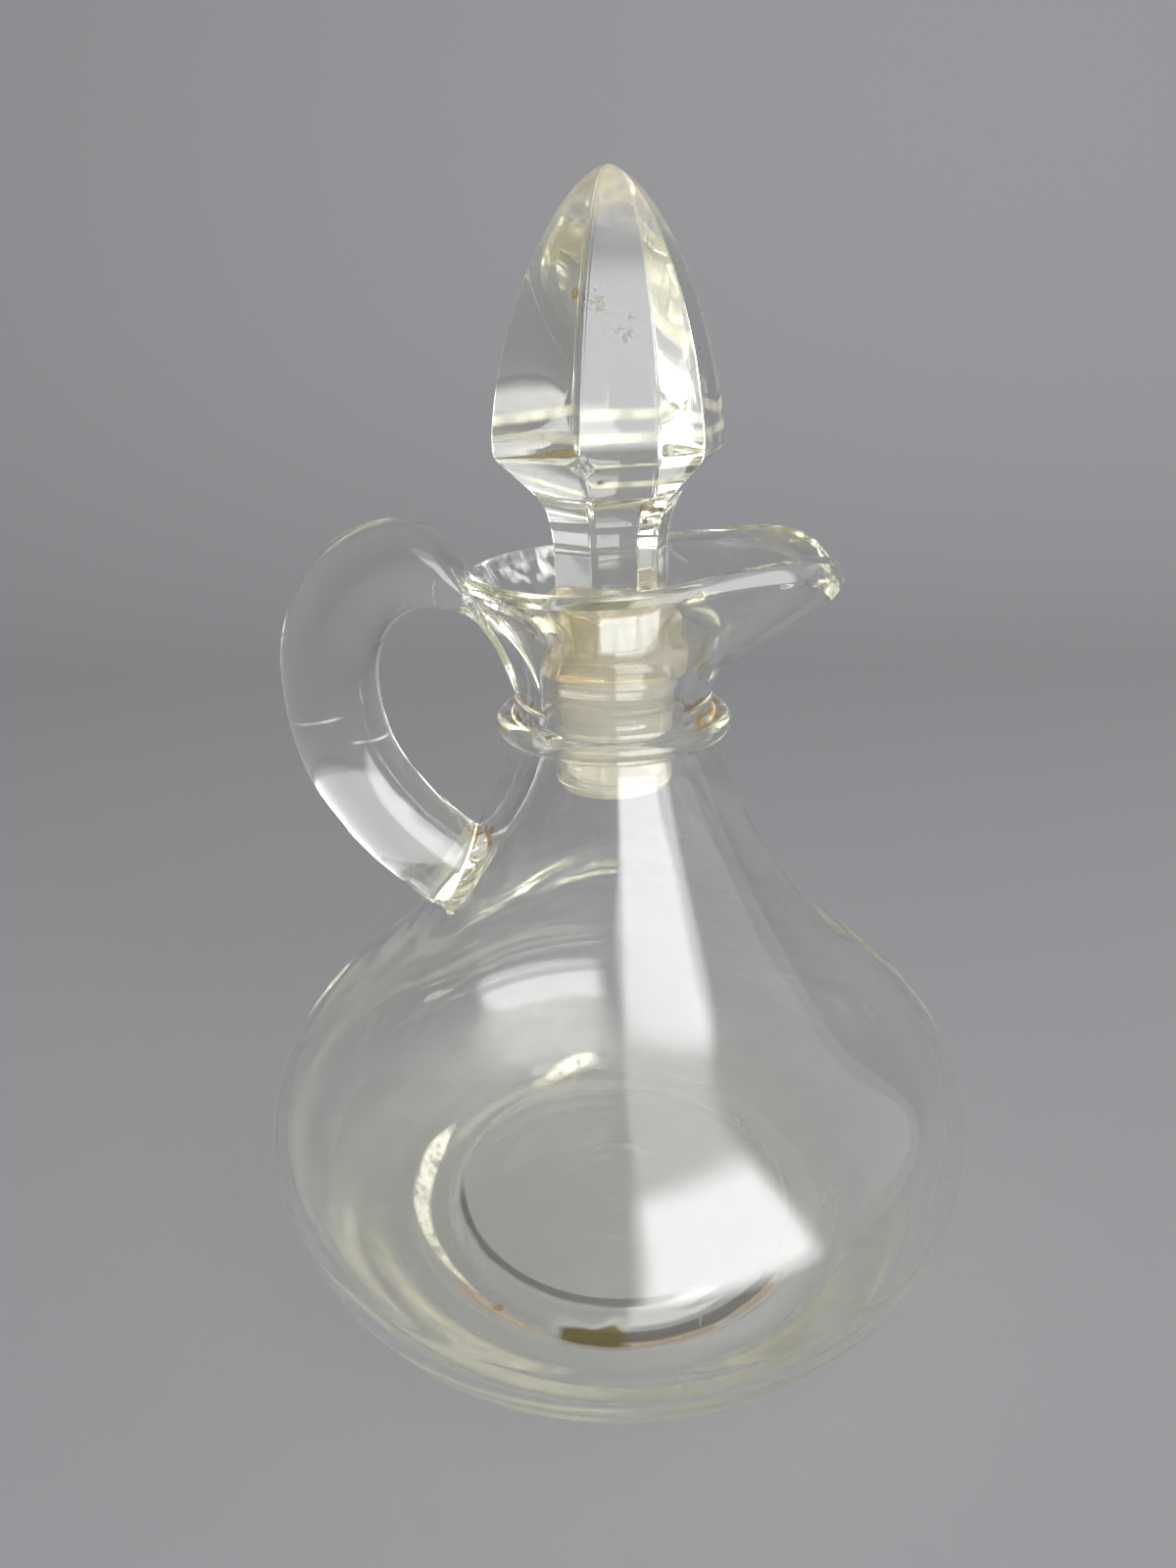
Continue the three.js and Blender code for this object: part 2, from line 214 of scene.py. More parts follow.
# Bottle, inside
WALL = 2.6
GROOVE_WALL = np.array([33.0, 7.9])
GROOVE = (27.2, 29.0)
GROOVE_BOTTOM = 5.0
FLOOR = np.array([24.2, 7.6])
DIMPLE = [[8.0, 7.6], [6.4, 7.0], [4.6, 7.4], [0, 7.55]]
BORE_FOOT = 81
BORE_PULL = 7
INNER_EASE = 0.3

inner_curve = moved_sideways(shoulder[:CURVE_STEPS + 1], -WALL)
inner_waist = inner_curve[-1]
inner_belly = BELLY - (WALL, 0)
inner_shoulder = eased_waist(
    joined_lines(
        inner_curve,
        bezier(
            inner_waist,
            inner_waist + WAIST_ABOVE * WAIST_WAY,
            (BORE, BORE_FOOT - BORE_PULL),
            (BORE, BORE_FOOT),
            CURVE_STEPS,
        ),
    ),
    inner_waist[1],
)
inside = joined_lines(
    bezier((BORE, FLARE_FROM + 1), (BORE, 86), (BORE, 84), (BORE, BORE_FOOT), 10),
    inner_shoulder[::-1],
    bezier(
        inner_belly, inner_belly - (0, BELLY_BELOW), GROOVE_WALL + (8.5, 1.4), GROOVE_WALL, CURVE_STEPS,
    ),
    bezier(
        GROOVE_WALL,
        GROOVE_WALL - (1.6, 0.3),
        (GROOVE[1] + 1.6, GROOVE_BOTTOM + 0.1),
        (GROOVE[1], GROOVE_BOTTOM),
        16,
    ),
    bezier((GROOVE[0], GROOVE_BOTTOM), (GROOVE[0] - 1.0, GROOVE_BOTTOM), FLOOR + (1.4, 0), FLOOR, 16),
    np.array([FLOOR, *DIMPLE]),
)
inside = thinned(rounded(inside, INNER_EASE), 0.004, 2.4)

# Mouth and spout
SPOUT_HALF_ANGLE = 37.5
SPOUT_RISE = 2.7
SPOUT_RISE_ANGLE = 66.0
SPOUT_NOTCH_ANGLE = 16.0
FLARE = RIM[1] - FLARE_FROM
LIP = 1.25
SPOUT_REACH = 28.3
SPOUT_LIP = (1.9, 2.5)
SPOUT_TIP_HEIGHT = 101.2
FLARE_STEPS = 22
CREST_STEPS = 16
THROAT_STEPS = 26


def mouth_line(lip, across, up, outer_pulls, inner_pulls):
    outer = bezier((NECK, FLARE_FROM), *outer_pulls, (lip[0] + across, lip[1]), FLARE_STEPS)
    crest = arc(lip, across, up, 0, 180, CREST_STEPS)
    inner = bezier((lip[0] - across, lip[1]), *inner_pulls, (BORE, FLARE_FROM + 1), THROAT_STEPS)
    return joined_lines(outer, crest, inner)


rim_line = mouth_line(
    (RIM[0], RIM[1] - LIP), LIP, LIP,
    [(NECK, FLARE_FROM + 0.33 * FLARE), (RIM[0] - 0.3, FLARE_FROM + 0.7 * FLARE)],
    [(RIM[0] - 3.5, FLARE_FROM + 0.7 * FLARE), (BORE, FLARE_FROM + 0.49 * FLARE)],
)
spout_line = mouth_line(
    (SPOUT_REACH - SPOUT_LIP[0], SPOUT_TIP_HEIGHT), *SPOUT_LIP,
    [(NECK + 0.5, FLARE_FROM + 0.39 * FLARE), (SPOUT_REACH - 2.9, FLARE_FROM + 0.47 * FLARE)],
    [(SPOUT_REACH - 7.8, FLARE_FROM + 0.6 * FLARE), (BORE + 0.4, FLARE_FROM + 0.45 * FLARE)],
)


def mouth_at(degrees):
    """The outline of the mouth at an angle from the spout, from its outer skin over the crest to the bore."""
    turn = degrees if degrees <= 180 else 360 - degrees
    share = 1 / (1 + (turn / SPOUT_HALF_ANGLE) ** 4)
    climb = SPOUT_RISE / (1 + (turn / SPOUT_RISE_ANGLE) ** 4)
    notch = 1 - math.exp(-((turn / SPOUT_NOTCH_ANGLE) ** 2))
    line = rim_line + share * (spout_line - rim_line)
    height = np.maximum((line[:, 1] - FLARE_FROM) / FLARE, 0)
    line[:, 1] += climb * notch * height ** 2
    return line


# Meshes
def mesh_object(name, points, faces):
    mesh = bpy.data.meshes.new(name)
    mesh.from_pydata((np.asarray(points) * MM).tolist(), [], faces)
    mesh.validate()
    thing = bpy.data.objects.new(name, mesh)
    bpy.context.scene.collection.objects.link(thing)
    return thing


def skin(rings, first, last):
    """Points and faces of a closed skin over rings of equal counts, with one point at each end."""
    around = len(rings[0])
    points = np.concatenate([[first], *rings, [last]])
    faces = []
    top = 1 + (len(rings) - 1) * around
    end = len(points) - 1
    for j in range(around):
        k = (j + 1) % around
        faces.append((0, 1 + k, 1 + j))
        faces.append((top + j, top + k, end))
        for i in range(len(rings) - 1):
            low = 1 + i * around
            high = low + around
            faces.append((low + j, low + k, high + k, high + j))
    return points, faces


def face_outward(thing):
    shape = bmesh.new()
    shape.from_mesh(thing.data)
    bmesh.ops.recalc_face_normals(shape, faces=shape.faces)
    shape.to_mesh(thing.data)
    shape.free()


def smooth(thing, sharp_degrees):
    thing.data.shade_smooth()
    thing.data.set_sharp_from_angle(angle=math.radians(sharp_degrees))


def ripple(angle, height, size, turns, seed):
    """A gentle unevenness round the axis, as in hand-worked glass."""
    phase = 1.7 * seed
    first = np.sin(turns * angle + 0.11 * height + phase)
    second = np.sin((turns + 2) * angle - 0.07 * height + 2.3 * phase)
    third = np.sin(angle * (turns - 1) + 0.19 * height + 0.6 * phase)
    fourth = np.sin(2 * angle + 0.34 * height + 1.9 * phase)
    return size * (first + 0.6 * second + 0.5 * third + 0.4 * fourth) / 2.5


COLUMNS = 224
# Hand-worked glass ripples in the belly: more and more outwards, and less and less up the neck
INNER_RIPPLE = 0.42
OUTER_RIPPLE = 0.07
RIPPLE_FROM = 11
RIPPLE_GROWS = 12
RIPPLE_TOP = 80
RIPPLE_FADES = 10


def bottle_mesh():
    columns = []
    out_count = len(outside)
    for j in range(COLUMNS):
        degrees = 360 * j / COLUMNS
        a = math.radians(degrees)
        line = joined_lines(outside, mouth_at(degrees), inside)
        r = line[:, 0].copy()
        z = line[:, 1]
        inner = np.zeros(len(r))
        inner[out_count + FLARE_STEPS + CREST_STEPS:] = 1
        swell = np.clip((r - RIPPLE_FROM) / RIPPLE_GROWS, 0, 1)
        belly_only = swell * np.clip((RIPPLE_TOP - z) / RIPPLE_FADES, 0, 1)
        r += inner * belly_only * ripple(a, z, INNER_RIPPLE, 3, 1)
        r += (1 - inner) * belly_only * ripple(a, z, OUTER_RIPPLE, 4, 2)
        columns.append(np.stack([r * math.cos(a), r * math.sin(a), z], 1))
    columns = np.array(columns)
    rings = [columns[:, i] for i in range(1, columns.shape[1] - 1)]
    points, faces = skin(rings, columns[0, 0], columns[0, -1])
    thing = mesh_object("bottle_glass", points, faces)
    face_outward(thing)
    return thing


# Handle, in the plane of the loop: its outer outline and that of its opening
def at_height(line, height):
    order = np.argsort(line[:, 1])
    return float(np.interp(height, line[order, 1], line[order, 0]))


# The way in which the rod comes down on the shoulder, and where its foot is
FOOT_SLOPE = math.radians(41)
FOOT_WAY = np.array([-math.cos(FOOT_SLOPE), -math.sin(FOOT_SLOPE)])
FOOT_HEADING = (-FOOT_WAY[0], 0, FOOT_WAY[1])
FOOT_HEIGHT = 62.5
FOOT_CENTRE = (-at_height(shoulder, FOOT_HEIGHT), 0, FOOT_HEIGHT)


def loop_line(root, root_pull, crest, grip, foot_height, foot_lead, steps):
    foot = np.array([at_height(shoulder, foot_height), foot_height])
    return joined_lines(
        bezier(
            root,
            np.add(root, root_pull),
            (crest[0] + 0.4 * (root[0] - crest[0]), crest[1]),
            crest,
            8 * steps,
        ),
        bezier(
            crest,
            (crest[0] + 0.55 * (grip[0] - crest[0]), crest[1]),
            (grip[0], grip[1] + 0.55 * (crest[1] - grip[1])),
            grip,
            9 * steps,
        ),
        bezier(
            grip,
            (grip[0], grip[1] + 0.45 * (foot_height - grip[1])),
            foot - foot_lead * FOOT_WAY,
            foot,
            12 * steps,
        ),
    )


LOOP_STEPS = 4
HANDLE_DEPTH = 11.8
GRIP_HEIGHT = 89
outer_loop = loop_line(
    root=(RIM[0] - 1.6, 103.2),
    root_pull=(4, 3.2),
    crest=(26.9, 109.6),
    grip=(42.8, GRIP_HEIGHT),
    foot_height=57,
    foot_lead=14.5,
    steps=LOOP_STEPS,
)
inner_loop = loop_line(
    root=(NECK, 91.5),
    root_pull=(1.5, 5.5),
    crest=(23.5, 98.5),
    grip=(30.4, GRIP_HEIGHT),
    foot_height=67.9,
    foot_lead=10.5,
    steps=LOOP_STEPS,
)
AROUND_HANDLE = 88
HANDLE_TURNS = 2 * np.pi * np.arange(AROUND_HANDLE) / AROUND_HANDLE


def handle_ring(i):
    """The ring of points round the rod at one step of its outlines. The first is on the outer outline."""
    outer, inner = outer_loop[i], inner_loop[i]
    middle, half = (outer + inner) / 2, (outer - inner) / 2
    across = middle + half * np.cos(HANDLE_TURNS)[:, None]
    return np.stack([-across[:, 0], HANDLE_DEPTH / 2 * np.sin(HANDLE_TURNS), across[:, 1]], 1)


def hermite(start, start_way, end, end_way, steps):
    """Rings between two rings, leaving the first and meeting the second along the given ways."""
    rings = []
    for t in np.linspace(0, 1, steps + 1)[:-1]:
        rings.append(
            (2 * t ** 3 - 3 * t ** 2 + 1) * start + (t ** 3 - 2 * t ** 2 + t) * start_way
            + (3 * t ** 2 - 2 * t ** 3) * end + (t ** 3 - t ** 2) * end_way
        )
    return rings


def on_mouth(run, aside, depth):
    """Points under the mouth's outer skin opposite the spout, by run along its line and distance aside."""
    outer_half = FLARE_STEPS + CREST_STEPS // 2 + 1
    line = resample(joined_lines(neck_line, mouth_at(180.0)[:outer_half]), FINE_STEP)
    along = np.gradient(line, axis=0)
    along /= np.linalg.norm(along, axis=1)[:, None]
    under = line - depth * np.stack([along[:, 1], -along[:, 0]], 1)
    span = lengths(under)
    r = np.interp(run * span[-1], span, under[:, 0])
    z = np.interp(run * span[-1], span, under[:, 1])
    return np.stack([-r * np.cos(aside / r), r * np.sin(aside / r), z], 1)


def unit(ways):
    return ways / np.linalg.norm(ways, axis=1)[:, None]


ROOT_RUN = 0.56
ROOT_STEPS = 14
WEB_WAY = math.radians(222)
WEB_WIDTH = math.radians(26)


def handle_root(first_ring, second_ring):
    """Rings from inside the flare to the loop, with a web that runs down the side that faces the camera."""
    cos, sin = np.cos(HANDLE_TURNS), np.sin(HANDLE_TURNS)
    web = np.exp(-((HANDLE_TURNS - WEB_WAY) / WEB_WIDTH) ** 2)
    run = np.clip(ROOT_RUN + 0.44 * cos - 0.10 * web, 0.03, 1)
    aside = (8.4 - 3.4 * (1 - cos) / 2) * sin - 1.6 * web
    rings = []
    for k in (0.15, 0.45, 0.75, 0.92):
        rings.append(on_mouth(ROOT_RUN + k * (run - ROOT_RUN), k * aside, 0.7))
    seat = on_mouth(run, aside, 0.3)
    # The way in which each point of the root leaves the mouth
    way = unit(np.stack([-0.60 - 0.22 * cos, -0.78 * sin, 0.80 * cos ** 2 - 0.16 * cos], 1))
    onward = unit(second_ring - first_ring)
    gap = np.linalg.norm(first_ring - seat, axis=1)[:, None]
    return rings + hermite(seat, way * gap * 0.9, first_ring, onward * gap * 0.9, ROOT_STEPS)


FOOT_STEPS = 14
LANDING_PASSES = 60
FOOT_SPREAD = 1.02
TAIL = np.array([0.6, -9.3, -3.3])
TAIL_SPREAD = 0.3
TAIL_WIDTH = math.radians(17)


def handle_foot(ring):
    """Rings from the loop's last ring to a low pad on the shoulder with a short tail, and their end point."""
    heading = np.array(FOOT_HEADING)
    body = resample(shoulder, FINE_STEP)

    def on_shoulder(points, depth):
        r = np.array([at_height(body, z) for z in points[:, 2]]) - depth
        angle = np.arctan2(points[:, 1], points[:, 0])
        return np.stack([r * np.cos(angle), r * np.sin(angle), points[:, 2]], 1)

    # Each pass takes the ring half of what is left of its way down to the shoulder
    landed = ring.copy()
    for _ in range(LANDING_PASSES):
        r = np.array([at_height(body, z) for z in landed[:, 2]])
        short = np.hypot(landed[:, 0], landed[:, 1]) - r
        landed = landed + (0.5 * short)[:, None] * heading
    centre = landed.mean(0)
    beside = landed - centre
    along_tail = beside @ TAIL / np.linalg.norm(beside, axis=1) / np.linalg.norm(TAIL)
    lobe = np.exp(-((np.arccos(np.clip(along_tail, -1, 1)) / TAIL_WIDTH) ** 2))[:, None]
    spread = on_shoulder(centre + beside * (FOOT_SPREAD + TAIL_SPREAD * lobe), 0.6)
    waist = on_shoulder(centre + beside, 0.0) - heading * 0.9
    gap = np.linalg.norm(spread - waist, axis=1)[:, None]
    landing = (unit(spread - centre) + 0.7 * heading) * gap * 0.7
    rings = hermite(waist, heading * np.minimum(gap, 1.5), spread, landing, FOOT_STEPS)
    rings.append(spread)
    for k in (0.92, 0.7, 0.4, 0.15):
        rings.append(on_shoulder(centre + (spread - centre) * k, 0.8))
    return rings, on_shoulder(centre[None], 0.8)[0]


def handle_mesh():
    # The first steps of the outlines give way to the root, and the last two to the foot
    first = 5 * LOOP_STEPS
    last = len(outer_loop) - 3
    tip = on_mouth(np.array([ROOT_RUN]), np.array([0.0]), 0.8)[0]
    root = handle_root(handle_ring(first), handle_ring(first + 1))
    loop = [handle_ring(i) for i in range(first, last + 1)]
    foot, end = handle_foot(loop[-1])
    points, faces = skin(root + loop + foot, tip, end)
    thing = mesh_object("handle_glass", points, faces)
    face_outward(thing)
    return thing


def fuse(thing, other):
    """Joins the other closed mesh to the thing, and takes the other away."""
    union = thing.modifiers.new("fuse", "BOOLEAN")
    union.operation = "UNION"
    union.solver = "EXACT"
    union.object = other
    bpy.context.view_layer.update()
    made = bpy.data.meshes.new_from_object(thing.evaluated_get(bpy.context.evaluated_depsgraph_get()))
    thing.modifiers.clear()
    thing.data = made
    bpy.data.objects.remove(other)


bottle = bottle_mesh()
handle = handle_mesh()
fuse(bottle, handle)
smooth(bottle, 28)


# Stopper
FACET_TURN = 16.6
STOPPER_TOP = 147.2
SEAM_CORNER = FACET_TURN + 240
STEM = 7.35
GIRDLE = 14.35
PEG_FOOT = 76.3


def stopper_outline():
    """Corner radius, height, corner rounding and how round the section is, from the peg's foot to the tip."""
    rows = []

    def add(line, rounding, roundness):
        for r, z in line:
            rows.append((r, z, rounding, roundness))

    peg = rounded(np.array([[0, PEG_FOOT], [5.7, PEG_FOOT], [6.4, 77.1], [6.7, 93.6], [6.75, 93.7]]), 0.2)
    add(thinned(peg, 0.01, 2.0), 0.5, 1.0)
    add(bezier((6.9, 93.8), (7.2, 93.85), (7.45, 94.0), (7.5, 94.4), 5), 0.9, 1.0)
    # The round section turns into the six-sided stem
    for t in np.linspace(0.04, 1, 14):
        rows.append((7.5 - 0.15 * t, 94.5 + 4.6 * t, 0.7, 1 - t))
    stem = joined_lines(
        bezier((STEM, 99.1), (STEM, 101), (STEM, 103), (STEM, 105), 14),
        bezier((STEM, 105), (STEM, 108), (7.9, 110.4), (9.25, 112.2), 22),
    )
    add(rounded(stem, 0.2)[4::4], 0.7, 0.0)
    under = joined_lines(
        bezier((9.25, 112.2), (10.6, 113.6), (12.0, 114.9), (13.3, 116.0), 16),
        bezier((13.3, 116.0), (14.0, 116.6), (GIRDLE, 117.1), (GIRDLE, 117.9), 10),
        bezier((GIRDLE, 117.9), (14.36, 118.5), (14.36, 119.1), (14.3, 119.7), 6),
    )
    add(rounded(under, 0.15)[2::4], 0.35, 0.0)
    finial = bezier((14.3, 119.7), (13.25, 130.4), (7.6, 143.9), (1.1, 146.9), 90)
    tip = bezier((1.1, 146.9), (0.8, 147.05), (0.4, STOPPER_TOP), (0, STOPPER_TOP), 6)
    add(finial[1:], 0.35, 0.0)
    add(tip[1:], 0.3, 0.3)
    return np.array(rows)


def hexagon(beta, corner, rounding):
    """Radius of a six-sided section at angles from the nearest corner, with its corners rounded."""
    rounding = min(rounding, 0.45 * corner)
    apothem = (corner - rounding) * math.cos(math.pi / 6) + rounding
    centre = (apothem - rounding) / math.cos(math.pi / 6)
    flat = apothem / np.cos(math.pi / 6 - beta)
    reach = np.clip(rounding ** 2 - (centre * np.sin(beta)) ** 2, 0, None)
    round_part = centre * np.cos(beta) + np.sqrt(reach)
    limit = math.atan2(rounding * math.sin(math.pi / 6), centre + rounding * math.cos(math.pi / 6))
    return np.where(beta < limit, round_part, flat)


# A small chip in the girdle: its radius, angle and height
CHIP = (14.2, SEAM_CORNER - 1, 116.5)
CHIP_REACH = 1.5
# The two seams of the mould stand out from the glass, and less on the peg
SEAM_WIDTH = 0.22
SEAM_RIDGE = 0.13
OTHER_RIDGE = 0.09
PEG_TOP = 94
PEG_SHARE = 0.45
FACET_SWAY = 0.03


def stopper_mesh():
    beta = np.concatenate([np.linspace(0, 4.2, 9), np.linspace(5.5, 30, 10)])
    half = np.concatenate([beta, 60 - beta[-2:0:-1]])
    angles = np.concatenate([half + 60 * k for k in range(6)])
    nearest = np.radians(np.minimum(angles % 60, 60 - angles % 60))
    world = np.radians(angles + FACET_TURN)
    seam_away = np.degrees(np.abs((world - math.radians(SEAM_CORNER) + math.pi) % (2 * math.pi) - math.pi))
    other_away = 180 - seam_away
    outline = stopper_outline()
    chip_turn = math.radians(CHIP[1])
    chip = np.array([CHIP[0] * math.cos(chip_turn), CHIP[0] * math.sin(chip_turn), CHIP[2]])
    rings = []
    for r, z, rounding, roundness in outline[1:-1]:
        edge = (1 - roundness) * hexagon(nearest, max(r, 1e-3), rounding) + roundness * r
        width = math.degrees(SEAM_WIDTH / max(r, 1.0))
        ridge = SEAM_RIDGE * np.exp(-(seam_away / width) ** 2)
        ridge = ridge + OTHER_RIDGE * np.exp(-(other_away / width) ** 2)
        edge = edge + ridge * min(1, r / 3) * (PEG_SHARE if z < PEG_TOP else 1)
        edge = edge + FACET_SWAY * np.sin(2 * world + 0.21 * z) * min(1, r / 8)
        ring = np.stack([edge * np.cos(world), edge * np.sin(world), np.full(len(edge), z)], 1)
        if abs(z - chip[2]) < 2:
            away = np.linalg.norm((ring - chip) * (0.8, 1, 1.25), axis=1)
            bite = np.clip(CHIP_REACH - away, 0, None) * (0.62 + 0.2 * np.sin(7 * ring[:, 0] + 5 * z))
            ring[:, :2] *= (1 - bite / np.maximum(edge, 1))[:, None]
        rings.append(ring)
    points, faces = skin(rings, (0, 0, outline[0, 1]), (0, 0, STOPPER_TOP))
    thing = mesh_object("stopper_glass", points, faces)
    face_outward(thing)
    smooth(thing, 30)
    return thing


stopper = stopper_mesh()


# Sleeve
SLEEVE_COLUMNS = 144
SLEEVE_SEAM = math.radians(257)
SLEEVE_RIDGE = 0.11
SLEEVE_RIDGE_WIDTH = 0.28
SEAL_HEIGHT = 93.2
SEAL_CLEAR = 0.3
COLLAR_FOOT = 96
COLLAR_WAVE = 0.12


def sleeve_mesh():
    cup_in, cup_out, collar_in, collar_out = 7.0, 7.8, 7.65, 8.45
    throat = mouth_at(180.0)[FLARE_STEPS + CREST_STEPS:]
    seal = at_height(throat, SEAL_HEIGHT) - SEAL_CLEAR
    # From the foot up: fine moulding lines, a swelling, the seal ring, and the collar with its round top
    outer = np.concatenate([
        [[0, 74.6], [6.2, 74.6], [7.1, 75.1], [7.7, 76.2], [7.75, 77.4]],
        [[7.8, 78.6], [7.8, 80.2], [7.72, 80.4], [7.8, 80.6], [7.8, 85.6], [7.88, 85.9], [7.8, 86.2]],
        [[7.8, 87.9], [7.7, 88.1], [7.8, 88.3], [7.8, 89.2]],
        arc((cup_out, 90.6), 8.3 - cup_out, 1.1, -80, 60, 14),
        arc((collar_out, SEAL_HEIGHT), seal - collar_out, 1.7, -75, 75, 30),
        [[collar_out, 95.3], [8.52, 96.2], [collar_out, 96.5], [collar_out, 99.5]],
        arc((8.05, 99.5), 0.4, 0.4, 0, 180, 12),
    ])
    inner = np.array([
        [collar_in, 99.4], [collar_in, 93.7], [cup_in, 93.4], [cup_in, 77.0], [6.2, 76.0], [0, 76.0],
    ])
    line = thinned(rounded(np.concatenate([outer, inner]), 0.13, 0.05), 0.006, 1.2)
    columns = []
    for j in range(SLEEVE_COLUMNS):
        a = 2 * math.pi * j / SLEEVE_COLUMNS
        away = abs((a - SLEEVE_SEAM + math.pi) % (2 * math.pi) - math.pi) * 8
        ridge = SLEEVE_RIDGE * math.exp(-(away / SLEEVE_RIDGE_WIDTH) ** 2)
        r = line[:, 0] + ridge * (line[:, 0] > 7.5)
        up_collar = (line[:, 1] > COLLAR_FOOT) * (line[:, 1] - COLLAR_FOOT) / 4
        z = line[:, 1] + COLLAR_WAVE * np.sin(2 * a + 0.8) * up_collar
        columns.append(np.stack([r * math.cos(a), r * math.sin(a), z], 1))
    columns = np.array(columns)
    rings = [columns[:, i] for i in range(1, columns.shape[1] - 1)]
    points, faces = skin(rings, (0, 0, line[0, 1]), (0, 0, line[-1, 1]))
    thing = mesh_object("sleeve_plastic", points, faces)
    face_outward(thing)
    smooth(thing, 50)
    return thing


sleeve = sleeve_mesh()


# Materials
class Surface:
    """A material made of nodes, with short ways to add them."""

    def __init__(self, name):
        self.material = bpy.data.materials.new(name)
        self.material.use_nodes = True
        self.tree = self.material.node_tree
        self.tree.nodes.clear()
        self.output = self.tree.nodes.new("ShaderNodeOutputMaterial")
        self.shader = self.tree.nodes.new("ShaderNodeBsdfPrincipled")
        self.place = self.tree.nodes.new("ShaderNodeTexCoord").outputs["Object"]
        self.tree.links.new(self.shader.outputs["BSDF"], self.output.inputs["Surface"])

    def put(self, socket, value):
        if isinstance(value, bpy.types.NodeSocket):
            self.tree.links.new(value, socket)
        else:
            socket.default_value = value

    def set(self, **values):
        for key, value in values.items():
            self.put(self.shader.inputs[key.replace("_", " ")], value)

    def math(self, operation, first, second=0.0, clamp=False):
        node = self.tree.nodes.new("ShaderNodeMath")
        node.operation = operation
        node.use_clamp = clamp
        self.put(node.inputs[0], first)
        self.put(node.inputs[1], second)
        return node.outputs[0]

    def times(self, *factors):
        made = factors[0]
        for factor in factors[1:]:
            made = self.math("MULTIPLY", made, factor)
        return made

    def firm(self, mask, gain=5.0):
        """The mask with its soft edge drawn in, so that a stain's colour is full where it begins to show."""
        return self.math("MULTIPLY", mask, gain, clamp=True)

    def most(self, *masks):
        made = masks[0]
        for mask in masks[1:]:
            made = self.math("MAXIMUM", made, mask)
        return made

    def range(self, value, low, high, to_low=0.0, to_high=1.0):
        node = self.tree.nodes.new("ShaderNodeMapRange")
        node.interpolation_type = "SMOOTHSTEP"
        for i, v in enumerate((value, low, high, to_low, to_high)):
            self.put(node.inputs[i], v)
        return node.outputs[0]

    def span(self, value, low, high, to_low=0.0, to_high=1.0):
        """A range whose ends are in millimetres."""
        return self.range(value, low * MM, high * MM, to_low, to_high)

    def swing(self, value, low, high, to_low=0.0, to_high=1.0):
        """A range whose ends are in degrees."""
        return self.range(value, math.radians(low), math.radians(high), to_low, to_high)

    def apart(self, first, second):
        return self.math("ABSOLUTE", self.math("SUBTRACT", first, second))

    def stretched(self, scale):
        node = self.tree.nodes.new("ShaderNodeMapping")
        self.put(node.inputs["Vector"], self.place)
        node.inputs["Scale"].default_value = scale
        return node.outputs[0]

    def noise(self, scale, detail=3.0, rough=0.55, place=None, bend=0.0):
        node = self.tree.nodes.new("ShaderNodeTexNoise")
        self.put(node.inputs["Vector"], place or self.place)
        node.inputs["Scale"].default_value = scale
        node.inputs["Detail"].default_value = detail
        node.inputs["Roughness"].default_value = rough
        node.inputs["Distortion"].default_value = bend
        return node.outputs["Fac"]

    def cells(self, scale, place=None):
        node = self.tree.nodes.new("ShaderNodeTexVoronoi")
        self.put(node.inputs["Vector"], place or self.place)
        node.inputs["Scale"].default_value = scale
        return node.outputs["Distance"]

    def away(self, point):
        node = self.tree.nodes.new("ShaderNodeVectorMath")
        node.operation = "DISTANCE"
        self.put(node.inputs[0], self.place)
        node.inputs[1].default_value = [c * MM for c in point]
        return node.outputs["Value"]

    def dot(self, point, way):
        """How far a place lies from the point along the way."""
        beside = self.tree.nodes.new("ShaderNodeVectorMath")
        beside.operation = "SUBTRACT"
        self.put(beside.inputs[0], self.place)
        beside.inputs[1].default_value = [c * MM for c in point]
        node = self.tree.nodes.new("ShaderNodeVectorMath")
        node.operation = "DOT_PRODUCT"
        self.put(node.inputs[0], beside.outputs["Vector"])
        node.inputs[1].default_value = way
        return node.outputs["Value"]

    def spot(self, point, full, none):
        return self.span(self.away(point), none, full)

    def axes(self):
        node = self.tree.nodes.new("ShaderNodeSeparateXYZ")
        self.put(node.inputs[0], self.place)
        return node.outputs

    def band(self, value, low, full_low, full_high, high):
        return self.times(self.span(value, low, full_low), self.span(value, high, full_high))

    def mix(self, factor, first, second):
        node = self.tree.nodes.new("ShaderNodeMix")
        node.data_type = "RGBA"
        self.put(node.inputs[0], factor)
        self.put(node.inputs[6], first)
        self.put(node.inputs[7], second)
        return node.outputs[2]

    def layered(self, base, *layers):
        """The base colour under layers of (mask, colour), the last of them on top."""
        for mask, colour in layers:
            base = self.mix(mask, base, colour)
        return base

    def bump(self, height, strength, distance, under=None):
        node = self.tree.nodes.new("ShaderNodeBump")
        node.inputs["Strength"].default_value = strength
        node.inputs["Distance"].default_value = distance * MM
        self.put(node.inputs["Height"], height)
        if under is not None:
            self.put(node.inputs["Normal"], under)
        return node.outputs["Normal"]

    def let_lamps_through(self, tint):
        """Light from lamps passes the glass, as it does in life, to what is in and behind it."""
        path = self.tree.nodes.new("ShaderNodeLightPath")
        clear = self.tree.nodes.new("ShaderNodeBsdfTransparent")
        clear.inputs["Color"].default_value = tint
        mixer = self.tree.nodes.new("ShaderNodeMixShader")
        self.put(mixer.inputs[0], path.outputs["Is Shadow Ray"])
        self.put(mixer.inputs[1], self.shader.outputs["BSDF"])
        self.put(mixer.inputs[2], clear.outputs["BSDF"])
        self.tree.links.new(mixer.outputs[0], self.output.inputs["Surface"])

